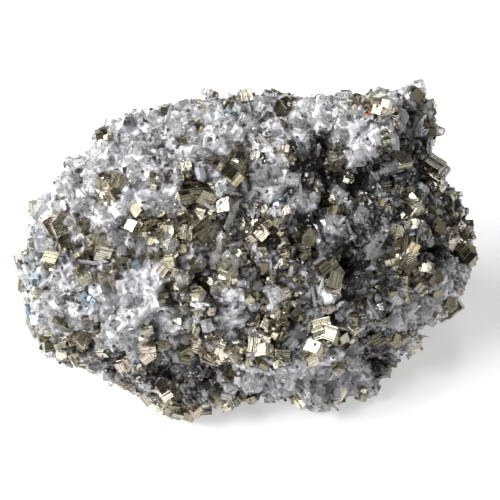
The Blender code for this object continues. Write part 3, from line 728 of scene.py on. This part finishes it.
def intergrown(chance, blocks, grooves):
    """Blocks grown through each other, some grooved deeply and some hardly, as one shape."""
    parts = []
    for _ in range(blocks):
        depth = chance.uniform(*GROOVE_STRENGTHS) * GROOVE_DEPTH
        parts.append(striated_block(chance, chance.choice(grooves), BAND_STEP, depth))
    points, triangles, corners = parts[0]
    for more_points, more_triangles, more_corners in parts[1:]:
        size = chance.uniform(*TWIN_SIZES)
        angle = chance.uniform(-TWIN_TURN, TWIN_TURN)
        turned = Matrix.Rotation(angle, 3, Vector((chance.random(), chance.random(), 1)))
        aside = np.array([chance.choice((-1, 1)) * chance.uniform(*TWIN_PLACES) for _ in range(3)])
        moved = more_points @ (np.array(turned) * size).T + aside
        triangles = np.concatenate([triangles, more_triangles + len(points)])
        points = np.concatenate([points, moved])
        corners = np.concatenate([corners, more_corners * size])
    return points, triangles, corners


def clipped_cube(chance):
    """A small pyrite cube with some corners cut by other crystal faces."""
    shape = new_cube(1.0)
    corners = [Vector(corner) for corner in itertools.product((-1, 1), repeat=3)]
    for corner in chance.sample(corners, CORNERS_CUT):
        cut_flat(shape, corner * chance.uniform(*CORNER_PLACES), corner)
    return as_arrays(shape)


def plain_cube(chance):
    """A speck too small to show more than its form."""
    return as_arrays(new_cube(chance.uniform(*SPECK_EDGES)))


def blunt_grain(chance):
    """An irregular grain bounded by flat fracture faces."""
    shape = new_cube(2.0)
    for _ in range(FRACTURES):
        outward = drawn(chance.gauss, 0, 1).normalized()
        cut_flat(shape, outward * chance.uniform(*FRACTURE_PLACES), outward)
    return as_arrays(shape)


def new_prism(length, end):
    """A six-sided prism standing on its foot, one unit wide, with an end of another radius."""
    shape = bmesh.new()
    lifted = Matrix.Translation((0, 0, length / 2))
    bmesh.ops.create_cone(
        shape, cap_ends=True, segments=PRISM_SIDES, radius1=0.5, radius2=end, depth=length, matrix=lifted
    )
    return shape


def quartz_point(chance):
    """A six-sided prism on its foot, with a lopsided pointed end and uneven sides."""
    shape = new_prism(1 - PRISM_TIP, POINT_END)
    end = max(shape.faces, key=lambda face: face.calc_center_median().z)
    tip = bmesh.ops.poke(shape, faces=[end], offset=PRISM_TIP)["verts"][0]
    tip.co.x += chance.uniform(-TIP_ASIDE, TIP_ASIDE)
    tip.co.y += chance.uniform(-TIP_ASIDE, TIP_ASIDE)
    for vert in shape.verts:
        wave = math.sin(POINT_WAVES * vert.co.y + chance.random() * POINT_DRIFT)
        vert.co.x *= 1 + POINT_BULGE * wave
        if vert is not tip and vert.co.z > 0.5:
            vert.co.z += chance.uniform(*SHOULDER_SHIFTS)
    return as_arrays(shape)


def quartz_stub(chance):
    """A short six-sided crystal with a nearly flat end and worn edges."""
    shape = new_prism(1.0, STUB_END)
    upper = [edge for edge in shape.edges if all(vert.co.z > 0.9 for vert in edge.verts)]
    bmesh.ops.bevel(
        shape, geom=upper, offset=STUB_WEAR, segments=1, profile=0.5, affect="EDGES", material=-1
    )
    for vert in shape.verts:
        vert.co.x *= 1 + chance.uniform(-STUB_UNEVEN, STUB_UNEVEN)
        vert.co.z *= 1 + chance.uniform(-STUB_UNEVEN, STUB_UNEVEN)
    points, triangles, corners = as_arrays(shape)
    # The bevel leaves its faces in an order that changes from run to run.
    order = np.lexsort(triangles.T)
    return points, triangles[order], corners[order]


def druse_knob(chance):
    """A knob of milky quartz, its skin a mass of small flat-sided points."""
    shape = bmesh.new()
    bmesh.ops.create_icosphere(shape, subdivisions=KNOB_DIVISIONS, radius=1.0)
    shift = drawn(chance.uniform, *KNOB_SHIFTS)
    for vert in shape.verts:
        spot = vert.co * KNOB_BLOCKS + shift
        block = noise.voronoi(spot)[1][0]
        step, tilt = block_pick(block)
        slope = KNOB_TILT * tilt
        vert.co *= KNOB_MIDDLE + KNOB_SLOPE * slope.dot(spot - block) + KNOB_STEP * step
    return as_arrays(shape)


def several(count, make, *settings):
    """A few shapes made by one rule, each drawn anew."""
    return [make(*settings) for _ in range(count)]


def repeated_shapes():
    """The few shapes that each piece repeats."""
    chance = random.Random(SEED)
    small_pyrite = several(6, clipped_cube, chance)
    small_pyrite += several(4, striated_block, chance, 1, 2 * BAND_STEP, GROOVE_DEPTH)
    return {
        "large_pyrite": [intergrown(chance, 2 + number % 3, (2, 3)) for number in range(12)],
        "middle_pyrite": [intergrown(chance, 1 + number % 2, (1, 2)) for number in range(8)],
        "small_pyrite": small_pyrite,
        "pyrite_sugar": [plain_cube(chance)],
        "quartz_prisms": several(6, quartz_point, chance),
        "quartz_druse": several(6, quartz_point, chance),
        "milky_druse": several(6, quartz_point, chance),
        "milky_knobs": several(4, druse_knob, chance),
        "milky_grains": several(6, blunt_grain, chance),
        "clear_grains": several(6, blunt_grain, chance),
        "dark_grains": several(6, blunt_grain, chance),
        "dark_specks": [plain_cube(chance)],
        "rust_specks": [plain_cube(chance)],
        "quartz_stubs": several(5, quartz_stub, chance),
    }


class Crop:
    """Many copies of a few shapes, gathered and then joined into one mesh."""

    def __init__(self, name, shapes):
        self.name = name
        self.shapes = shapes
        self.points = []
        self.triangles = []
        self.corners = []
        self.tints = []
        self.marks = []
        self.count = 0

    def add(self, chance, middle, turned, size, mark=0.0):
        """Adds one copy that clears the floor. Its tint is drawn by lot, and its mark is for the finish."""
        points, triangles, corners = chance.choice(self.shapes)
        place = np.array(turned @ Matrix.Diagonal(size))
        moved = points @ place.T + np.array(middle)
        if moved[:, 2].min() < FLOOR_GAP:
            return
        self.points.append(moved)
        self.triangles.append(triangles + self.count)
        self.corners.append(corners * max(size))
        self.tints.append(np.full(len(points), chance.random()))
        self.marks.append(np.full(len(points), mark))
        self.count += len(points)

    def piece(self, material):
        """The joined copies as one finished piece, in metres."""
        mesh = bpy.data.meshes.new(self.name)
        points = np.concatenate(self.points) * MM
        mesh.from_pydata(points.tolist(), [], np.concatenate(self.triangles).tolist())
        lines = mesh.uv_layers.new(name="growth_lines")
        lines.data.foreach_set("uv", np.concatenate(self.corners).ravel())
        carry(mesh, "tint", np.concatenate(self.tints))
        carry(mesh, "mark", np.concatenate(self.marks))
        return finished(self.name, mesh, material)


def carry(mesh, label, values):
    """Lets a mesh carry a number at each of its points."""
    mesh.attributes.new(label, "FLOAT", "POINT").data.foreach_set("value", values)


def finished(name, mesh, material):
    """A piece that rides on the lump, in place of the plain solid."""
    piece = bpy.data.objects.new(name, mesh)
    bpy.context.scene.collection.objects.link(piece)
    mesh.materials.append(material)
    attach(piece, "root")
    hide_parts("pyrite_cluster")
    return piece


# Finishes


def feed(tree, taker, values):
    """Sets a node's inputs to plain values, or links them to other nodes' outputs."""
    for label, value in values.items():
        if isinstance(value, bpy.types.NodeSocket):
            tree.links.new(value, taker.inputs[label])
        else:
            taker.inputs[label].default_value = value


def node(tree, kind, values=None, **settings):
    """A new node with some of its settings and inputs."""
    made = tree.nodes.new(kind)
    for label, value in settings.items():
        setattr(made, label, value)
    feed(tree, made, values or {})
    return made


def new_group(name, label, value, outputs):
    """A shader node group with one input, as yet unwired, and its own input and output nodes."""
    group = bpy.data.node_groups.new(name, "ShaderNodeTree")
    socket = group.interface.new_socket(label, in_out="INPUT", socket_type="NodeSocketFloat")
    socket.default_value = value
    for output in outputs:
        group.interface.new_socket(output, in_out="OUTPUT", socket_type="NodeSocketFloat")
    return group, group.nodes.new("NodeGroupInput"), group.nodes.new("NodeGroupOutput")


def growth_lines_group():
    """Fine parallel ridges across a crystal face, some strong and some faint, as a height."""
    group, inside, outside = new_group("growth_lines", "Spacing", LINE_SPACING, ("Height", "Groove"))
    lines = node(group, "ShaderNodeUVMap", uv_map="growth_lines")
    split = node(group, "ShaderNodeSeparateXYZ", {0: lines.outputs["UV"]})
    spaced = {0: split.outputs["Y"], 1: inside.outputs["Spacing"]}
    over = node(group, "ShaderNodeMath", spaced, operation="DIVIDE")
    places = node(group, "ShaderNodeTexCoord")
    drift = node(group, "ShaderNodeTexNoise", {
        "Vector": places.outputs["Object"], "Scale": DRIFT_SCALE, "Detail": 2.0,
    })
    swayed = {0: drift.outputs["Fac"], 1: LINE_WOBBLE, 2: over.outputs[0]}
    sway = node(group, "ShaderNodeMath", swayed, operation="MULTIPLY_ADD")
    uneven = {"W": sway.outputs[0], "Scale": 1.0, "Detail": 3.0, "Roughness": 0.7}
    steps = node(group, "ShaderNodeTexNoise", uneven, noise_dimensions="1D")
    # Groove is 1 where the lines lie low; the pyrite finish darkens it there as painted shade.
    groove = node(group, "ShaderNodeMapRange", {
        "Value": steps.outputs["Fac"], "From Min": 0.50, "From Max": 0.36,
    })
    feed(group, outside, {"Height": steps.outputs["Fac"], "Groove": groove.outputs["Result"]})
    return group


def grain_group():
    """Fine crystalline grain: a height of small flat facets, a mask that differs for each, and patches."""
    group, inside, outside = new_group("crystal_grain", "Scale", 900.0, ("Height", "Mask", "Patches"))
    places = node(group, "ShaderNodeTexCoord")
    cells = node(group, "ShaderNodeTexVoronoi", {
        "Vector": places.outputs["Object"], "Scale": inside.outputs["Scale"],
    })
    apart = node(group, "ShaderNodeSeparateColor", {0: cells.outputs["Color"]})
    broad = node(group, "ShaderNodeTexNoise", {
        "Vector": places.outputs["Object"], "Scale": PATCH_SCALE, "Detail": 4.0,
    })
    feed(group, outside, {
        "Height": cells.outputs["Distance"], "Mask": apart.outputs["Red"], "Patches": broad.outputs["Fac"],
    })
    return group


def new_material(name):
    """A material, its node tree and its Principled shader."""
    material = bpy.data.materials.new(name)
    material.use_nodes = True
    return material, material.node_tree, material.node_tree.nodes["Principled BSDF"]


def colour_ramp(tree, factor, stops):
    """A ramp through stops of (place, colour), fed by an output."""
    ramp = node(tree, "ShaderNodeValToRGB", {"Fac": factor})
    elements = ramp.color_ramp.elements
    while len(elements) < len(stops):
        elements.new(0.5)
    for element, (place, colour) in zip(elements, stops):
        element.position = place
        element.color = (*colour, 1)
    return ramp.outputs["Color"]


def blend(tree, factor, pattern, colour):
    """Mixes a plain colour into a pattern by a factor."""
    mixed = {"Factor": factor, "A": pattern, "B": (*colour, 1)}
    return node(tree, "ShaderNodeMix", mixed, data_type="RGBA").outputs["Result"]


def bumped(tree, height, strength, distance):
    """A normal that follows a height, raised by a distance in metres."""
    raised = {"Height": height, "Strength": strength, "Distance": distance}
    return node(tree, "ShaderNodeBump", raised).outputs["Normal"]


def value_range(tree, value, low, high):
    """Maps a 0 to 1 value on to a range."""
    ranged = {"Value": value, "To Min": low, "To Max": high}
    return node(tree, "ShaderNodeMapRange", ranged).outputs["Result"]


def attribute(tree, label):
    """A number that the mesh carries at each of its points."""
    return node(tree, "ShaderNodeAttribute", attribute_name=label).outputs["Fac"]


def specks(tree, grain, kind):
    """The outputs of the shared grain, at the scale of one kind of speck."""
    return node(tree, "ShaderNodeGroup", {"Scale": SPECK_SCALES[kind]}, node_tree=grain).outputs


def pyrite_finish(lines, grain):
    """Pale brass, each crystal its own shade, with growth lines whose grooves are darkened as painted shade,
    and a few blue tarnished faces.
    """
    material, tree, shader = new_material("pyrite_brass")
    ridges = node(tree, "ShaderNodeGroup", node_tree=lines).outputs
    speck = specks(tree, grain, "brass")
    shades = colour_ramp(tree, attribute(tree, "tint"), [
        (0.0, (0.13, 0.11, 0.075)), (0.3, (0.36, 0.34, 0.25)),
        (0.7, (0.68, 0.65, 0.54)), (1.0, (0.66, 0.58, 0.50)),
    ])
    worn = blend(tree, value_range(tree, speck["Mask"], 0.0, 0.35), shades, (0.16, 0.14, 0.10))
    # The growth lines' grooves are darkened in colour: painted shade.
    groove_shaded = blend(tree, value_range(tree, ridges["Groove"], 0.0, 0.75), worn, (0.10, 0.085, 0.05))
    cloudy = {0: attribute(tree, "mark"), 1: value_range(tree, speck["Patches"], 0.5, 1.2)}
    blue = node(tree, "ShaderNodeMath", cloudy, operation="MULTIPLY")
    feed(tree, shader, {
        "Base Color": blend(tree, blue.outputs[0], groove_shaded, (0.50, 0.60, 0.68)),
        "Roughness": value_range(tree, speck["Patches"], 0.0, 0.22),
        "Metallic": 1.0,
        "Normal": bumped(tree, ridges["Height"], 0.6, 0.0002),
    })
    return material


def clear_quartz_finish(grain):
    """Colourless see-through quartz with slightly uneven sides."""
    material, tree, shader = new_material("clear_quartz")
    waves = specks(tree, grain, "clear")["Patches"]
    feed(tree, shader, {
        "Base Color": (0.96, 0.957, 0.96, 1), "Roughness": 0.05,
        "Transmission Weight": 0.85, "IOR": QUARTZ_INDEX,
        "Normal": bumped(tree, waves, 0.15, 0.0002),
    })
    return material


def milky_quartz_finish(grain):
    """Cloudy white to bluish-grey quartz that lets some light through."""
    material, tree, shader = new_material("milky_quartz")
    cloud = specks(tree, grain, "milky")["Mask"]
    fine = specks(tree, grain, "flecks")
    shades = colour_ramp(tree, attribute(tree, "tint"), [
        (0.0, (0.50, 0.50, 0.50)), (0.3, (0.79, 0.80, 0.79)),
        (0.65, (0.95, 0.945, 0.945)), (1.0, (0.80, 0.795, 0.90)),
    ])
    feed(tree, shader, {
        "Base Color": blend(tree, value_range(tree, fine["Mask"], 0.0, 0.25), shades, (0.30, 0.30, 0.32)),
        "Roughness": value_range(tree, cloud, 0.04, 0.22),
        "Transmission Weight": 0.62, "IOR": QUARTZ_INDEX,
        "Normal": bumped(tree, fine["Height"], 0.5, 0.0001),
    })
    return material


def hazy_quartz_finish(grain):
    """Grey see-through quartz clouded by fine flaws."""
    material, tree, shader = new_material("hazy_quartz")
    flaws = specks(tree, grain, "hazy")["Patches"]
    fine = specks(tree, grain, "flecks")
    shades = colour_ramp(tree, flaws, [
        (0.35, (0.75, 0.755, 0.76)), (0.5, (0.91, 0.915, 0.92)), (0.62, (0.98, 0.98, 0.98)),
    ])
    feed(tree, shader, {
        "Base Color": blend(tree, value_range(tree, fine["Mask"], 0.0, 0.2), shades, (0.35, 0.35, 0.37)),
        "Roughness": 0.12, "Transmission Weight": 0.8, "IOR": QUARTZ_INDEX,
        "Normal": bumped(tree, fine["Height"], 0.35, 0.0001),
    })
    return material


def rust_finish(grain):
    """Orange-brown iron stain."""
    material, tree, shader = new_material("iron_stain")
    speck = specks(tree, grain, "rust")["Mask"]
    shades = colour_ramp(tree, speck, [(0.0, (0.16, 0.05, 0.015)), (1.0, (0.55, 0.17, 0.04))])
    feed(tree, shader, {"Base Color": shades, "Roughness": 0.7})
    return material


def dark_mineral_finish(grain):
    """Nearly black, glossy grains with a brown cast."""
    material, tree, shader = new_material("dark_mineral")
    speck = specks(tree, grain, "dark")
    shades = colour_ramp(tree, attribute(tree, "tint"), [
        (0.0, (0.012, 0.012, 0.014)), (0.6, (0.035, 0.032, 0.03)), (1.0, (0.09, 0.075, 0.055)),
    ])
    feed(tree, shader, {
        "Base Color": shades, "Roughness": value_range(tree, speck["Mask"], 0.10, 0.40), "IOR": 2.0,
        "Normal": bumped(tree, speck["Height"], 0.4, 0.0002),
    })
    return material


def rock_finish(grain):
    """Fine-grained quartz and ore: white to grey, with dark stretches and brassy specks. Its greys are kept
    dark partly as painted shade between the crystals, and its dark stretches are partly painted shade in
    crevices and hollows.
    """
    material, tree, shader = new_material("fine_grained_rock")
    speck = specks(tree, grain, "rock")
    # The rock's own grey grain, kept dark partly as painted shade between the crystals.
    rock_greys_and_shade = colour_ramp(tree, speck["Mask"], [
        (0.0, (0.03, 0.03, 0.035)), (0.35, (0.12, 0.125, 0.13)),
        (0.7, (0.30, 0.31, 0.33)), (1.0, (0.6, 0.61, 0.63)),
    ])
    pale = blend(tree, attribute(tree, "quartz"), rock_greys_and_shade, (0.76, 0.76, 0.78))
    ored = blend(tree, attribute(tree, "pyrite"), pale, (0.07, 0.06, 0.04))
    feed(tree, shader, {
        # The dark blend is partly dark mineral and partly painted shade in crevices and hollows.
        "Base Color": blend(tree, attribute(tree, "dark"), ored, (0.025, 0.025, 0.027)),
        "Roughness": value_range(tree, speck["Patches"], 0.25, 0.6),
        "Normal": bumped(tree, speck["Height"], 0.6, 0.0004),
    })
    return material


def new_finishes(grain):
    """The finish of each piece of crystals or grains, by the piece's name."""
    brass = pyrite_finish(growth_lines_group(), grain)
    clear = clear_quartz_finish(grain)
    milky = milky_quartz_finish(grain)
    dark = dark_mineral_finish(grain)
    rust = rust_finish(grain)
    hazy = hazy_quartz_finish(grain)
    return {
        "large_pyrite": brass, "middle_pyrite": brass, "small_pyrite": brass, "pyrite_sugar": brass,
        "quartz_prisms": hazy, "quartz_stubs": hazy, "milky_knobs": hazy,
        "quartz_druse": clear, "clear_grains": clear, "milky_druse": milky, "milky_grains": milky,
        "dark_grains": dark, "dark_specks": dark, "rust_specks": rust,
    }


# Placing


def grow_large_crystals(crops, sites):
    """The crystals that the solid has too, each of its own mineral."""
    chance = random.Random(SEED)
    names = {"cube": "large_pyrite", "prism": "quartz_prisms", "knob": "milky_knobs"}
    for kind, middle, turned, size in sites:
        blue = tarnish(to_face(middle)) if kind == "cube" else 0.0
        crops[names[kind]].add(chance, middle, turned, size, mark=blue)


def random_turn(chance):
    """A turn drawn from all directions."""
    axis = drawn(chance.gauss, 0, 1)
    return Matrix.Rotation(chance.uniform(0, 2 * math.pi), 3, axis)


def rolled(chance, tip):
    """A turn that lays a crystal's length along its tip's direction, rolled about it by lot."""
    return turned_along(tip, chance.uniform(0, 2 * math.pi))


def leaning(chance, outward, most):
    """A direction that leans away from the outward one by up to a share of it."""
    return (outward + most * drawn(chance.uniform, -1, 1)).normalized()


def uneven_edges(chance, size, sides):
    """The three edges of a block: the first in full, the others a drawn share of it."""
    return Vector((size, size * chance.uniform(*sides), size * chance.uniform(*sides)))


def grain_edges(size, form):
    """The three widths of a grain: the first in full, the others the form's shares of it."""
    return Vector((size, size * form[0], size * form[1]))


def near_any(point, grid, room):
    """Whether another crystal sits within the room that this one needs. If none does, it takes it."""
    cell = tuple(math.floor(part / CELL) for part in point)
    for x, y, z in itertools.product((-1, 0, 1), repeat=3):
        for other, width in grid.get((cell[0] + x, cell[1] + y, cell[2] + z), ()):
            if (point - other).length < 0.5 * (room + width):
                return True
    grid.setdefault(cell, []).append((point.copy(), room))
    return False


class Ground:
    """Places on the rock drawn evenly by area, with the mineral that belongs there."""

    def __init__(self, rock, chance):
        self.chance = chance
        self.faces = [face for face in rock.faces if face.calc_center_median().z > SMALL_LOWEST]
        self.areas = np.cumsum([face.calc_area() for face in self.faces])

    def places(self, count):
        """Draws some places, each as its point, the way out of the rock and its mineral."""
        picks = [self.chance.uniform(0, self.areas[-1]) for _ in range(count)]
        for number in np.searchsorted(self.areas, picks):
            face = self.faces[number]
            point = face.calc_center_median()
            scores = mineral_scores(to_face(point))
            mineral = max(MINERALS, key=lambda name: scores[name] + MIXING * self.chance.random())
            yield point, face.normal, mineral


def grow_middle_crystals(crops, ground, grid):
    """Crystals nearly as large as the solid's own, sunk so deep that they hardly stand above the crust."""
    chance = ground.chance
    for point, outward, mineral in ground.places(MIDDLE_TRIES):
        size = chance.uniform(*MIDDLE_SIZES)
        low = point.z < MIDDLE_CLEARS * size + FLOOR_ROOM
        if low or mineral == "dark" or near_any(point, grid, MIDDLE_CROWDING * size):
            continue
        if mineral == "pyrite":
            edges = uneven_edges(chance, size, MIDDLE_SIDES) * MIDDLE_EDGE
            middle = point - outward * size * MIDDLE_SINK
            crops["middle_pyrite"].add(chance, middle, random_turn(chance), edges)
        else:
            tip = leaning(chance, outward, MIDDLE_LEAN)
            turned = rolled(chance, tip)
            width = size * chance.uniform(*MIDDLE_WIDTHS)
            name = chance.choice(("quartz_stubs", "quartz_prisms", "milky_druse"))
            foot = point - tip * size * MIDDLE_FOOT
            crops[name].add(chance, foot, turned, Vector((width, width * QUARTZ_BREADTH, size)))


def grow_small_crystals(crops, ground, grid):
    """Thousands of small crystals over the whole lump, each where its mineral belongs."""
    chance = ground.chance
    for point, outward, mineral in ground.places(SMALL_TRIES):
        size = min(chance.uniform(*SMALL_SIZES), chance.uniform(*SMALL_SIZES) + SMALL_EXTRA)
        low = point.z < SMALL_CLEARS * size + FLOOR_ROOM
        if low or near_any(point, grid, SMALL_CROWDING * size):
            continue
        turned = random_turn(chance)
        blue = tarnish(to_face(point))
        if mineral == "pyrite" or blue:
            edges = uneven_edges(chance, size, SMALL_SIDES)
            crops["small_pyrite"].add(chance, point + outward * size * SMALL_SHIFT, turned, edges, mark=blue)
        elif mineral == "dark":
            crops["dark_grains"].add(chance, point, turned, grain_edges(size, DARK_FORM) * DARK_SIZE)
        elif chance.random() < DRUSE_SHARE:
            tip = leaning(chance, outward, DRUSE_LEAN)
            width = size * chance.uniform(*DRUSE_WIDTHS)
            length = size * chance.uniform(*DRUSE_LENGTHS)
            turned = rolled(chance, tip)
            foot = point - tip * length * DRUSE_FOOT
            name = chance.choice(("quartz_druse", "milky_druse"))
            crops[name].add(chance, foot, turned, Vector((width, width * DRUSE_BREADTH, length)))
        else:
            name = chance.choice(("clear_grains", "milky_grains"))
            middle = point - outward * size * SMALL_SHIFT
            crops[name].add(chance, middle, turned, grain_edges(size, PALE_FORM) * PALE_SIZE)


def grow_long_prisms(crops, ground):
    """Slender quartz prisms lying across the crust, and short wide ones that show their six sides."""
    chance = ground.chance
    for point, outward, mineral in ground.places(LONG_TRIES):
        length = chance.uniform(*LONG_LENGTHS)
        width = length * chance.uniform(*LONG_WIDTHS)
        tip = leaning(chance, outward, LONG_LEAN)
        name = chance.choice(("quartz_prisms", "milky_druse", "milky_druse"))
        if chance.random() < WIDE_SHARE:
            name = "quartz_stubs"
            length = chance.uniform(*WIDE_LENGTHS)
            width = length * chance.uniform(*WIDE_WIDTHS)
            tip = leaning(chance, outward, WIDE_LEAN)
        reach = tip.dot(outward) * length * REACH_SHARE
        low = point.z < LONG_CLEARS * length + LONG_ROOM
        if mineral != "quartz" or low or not 0 < reach < MOST_REACH:
            continue
        turned = rolled(chance, tip)
        foot = point + outward * width * LONG_RAISED - tip * length * LONG_FOOT
        crops[name].add(chance, foot, turned, Vector((width, width * QUARTZ_BREADTH, length)))


def crust_of(crops):
    """The crystals grown so far, as something that a ray can hit."""
    points = []
    triangles = []
    count = 0
    for crop in crops.values():
        if crop.count:
            points.append(np.concatenate(crop.points))
            triangles.append(np.concatenate(crop.triangles) + count)
            count += crop.count
    return BVHTree.FromPolygons(np.concatenate(points).tolist(), np.concatenate(triangles).tolist())


def strew_grains(crops, ground):
    """The finest grains, on the outside of the crust: brassy sugar, dark specks and a little rust."""
    chance = ground.chance
    crust = crust_of(crops)
    on_large = sum(len(triangles) for triangles in crops["large_pyrite"].triangles)
    for point, outward, mineral in ground.places(GRAIN_TRIES):
        size = GRAIN_SIZES[0] + (GRAIN_SIZES[1] - GRAIN_SIZES[0]) * chance.random() ** 2
        spot, _, number, _ = crust.ray_cast(point + outward * SKY, -outward, SKY)
        if spot is None:
            continue
        share = LARGE_COVERED if number < on_large else COVERED[mineral]
        place = to_face(spot)
        if chance.random() > share * (1 + GATHERING * noise.noise(place / GRAIN_GROUPS)):
            continue
        brassy = mineral == "pyrite" or chance.random() < STRAY_BRASS
        rusty = near_spot(place, RUSTY, RUST_REACH)
        name = "rust_specks" if rusty else "pyrite_sugar" if brassy else "dark_specks"
        crops[name].add(chance, spot, random_turn(chance), grain_edges(size, GRAIN_FORM))


def rock_piece(rock, material):
    """The fine rock as a piece, with how much of each mineral its places hold."""
    scores = [mineral_scores(to_face(vert.co)) for vert in rock.verts]
    rock.transform(Matrix.Scale(MM, 4))
    mesh = bpy.data.meshes.new("fine_rock")
    bmesh.ops.triangulate(rock, faces=rock.faces)
    rock.to_mesh(mesh)
    for mineral in MINERALS:
        others = [other for other in MINERALS if other != mineral]
        lead = [score[mineral] - max(score[other] for other in others) for score in scores]
        carry(mesh, mineral, np.clip(np.array(lead) * LEAD_GAIN, 0, 1) * MOST_COLOUR)
    return finished("fine_rock", mesh, material)


# The studio


def look_from(thing, target, back):
    """Puts a camera or light back from a target and turns it to look there."""
    thing.location = target + back
    thing.rotation_euler = back.to_track_quat("Z", "Y").to_euler()
    bpy.context.scene.collection.objects.link(thing)


def add_camera():
    """A long lens from the front and above, square to the crystal-covered face."""
    camera = bpy.data.objects.new("camera", bpy.data.cameras.new("camera"))
    camera.data.lens = LENS
    camera.data.sensor_width = SENSOR
    look_from(camera, MIDDLE * MM + FACE.col[0] * CAMERA_ASIDE, FACE.col[2] * CAMERA_BACK)
    bpy.context.scene.camera = camera


def add_lights():
    """Square soft lights: a broad one from the left, three small ones for sparkle, and a fill."""
    for name, (direction, width, power) in LIGHTS.items():
        light = bpy.data.objects.new(name, bpy.data.lights.new(name, "AREA"))
        light.data.size = width
        light.data.energy = power
        look_from(light, LIGHT_TARGET, direction.normalized() * LIGHT_BACK)


def add_floor():
    """A plain pale floor."""
    shape = bmesh.new()
    bmesh.ops.create_grid(shape, x_segments=1, y_segments=1, size=FLOOR_HALF)
    mesh = bpy.data.meshes.new("floor")
    shape.to_mesh(mesh)
    shape.free()
    floor = bpy.data.objects.new("floor", mesh)
    bpy.context.scene.collection.objects.link(floor)
    material, tree, shader = new_material("pale_floor")
    feed(tree, shader, {
        "Base Color": (0.86, 0.86, 0.86, 1), "Roughness": 0.9,
        "Emission Color": (1, 1, 1, 1), "Emission Strength": 0.4,
    })
    mesh.materials.append(material)


def add_world():
    """A faint, slightly blue light from all round."""
    world = bpy.data.worlds.new("studio")
    world.use_nodes = True
    tree = world.node_tree
    feed(tree, tree.nodes["Background"], {"Color": (0.80, 0.85, 0.92, 1), "Strength": 0.05})
    bpy.context.scene.world = world


def main():
    """Grows the crystals on the rock, joins them by kind, and sets up the studio."""
    crops = {name: Crop(name, shapes) for name, shapes in repeated_shapes().items()}
    grain = grain_group()
    finishes = new_finishes(grain)
    sites = crystal_sites(thinned(rock_skin(LUMP_DIVISIONS)))
    rock = fine_rock()
    ground = Ground(rock, random.Random(SMALL_SEED))
    grid = {}
    grow_large_crystals(crops, sites)
    grow_middle_crystals(crops, ground, grid)
    grow_small_crystals(crops, ground, grid)
    grow_long_prisms(crops, ground)
    strew_grains(crops, ground)
    for name, crop in crops.items():
        crop.piece(finishes[name])
    rock_piece(rock, rock_finish(grain))
    add_camera()
    add_lights()
    add_floor()
    add_world()
    bpy.context.scene.view_settings.view_transform = "Standard"


main()
